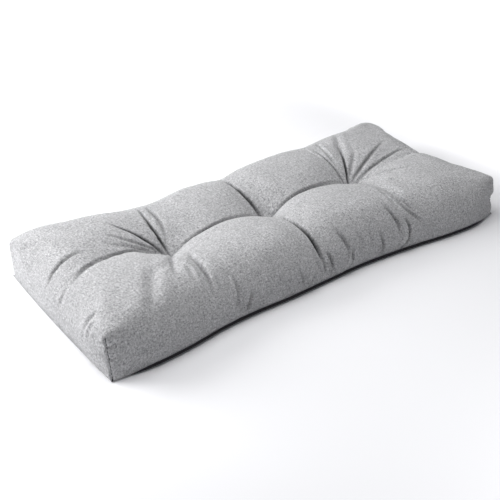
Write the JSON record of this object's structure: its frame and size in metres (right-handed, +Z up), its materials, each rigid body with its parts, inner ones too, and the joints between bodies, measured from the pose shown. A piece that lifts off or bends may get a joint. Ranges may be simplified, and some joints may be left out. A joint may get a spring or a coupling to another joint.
{
  "type": "tufted bench cushion",
  "caption": "Long rectangular bench cushion in grey woven cloth, thickly filled, with boxed corners and a row of tufts along its centre line that draw the top into soft lobes.",
  "frame": {"origin": "centre of the bounding box on the surface that the cushion lies on", "axes": "+X along the cushion's length, to the right in the picture; +Y across it, towards the back edge; +Z up, out of the tufted top"},
  "size_m": [1.1621, 0.5055, 0.132],
  "materials": {
    "fabric": "matt heathered grey plain weave"
  },
  "bodies": {
    "root": {"cushion": "fabric"}
  },
  "joints": []
}
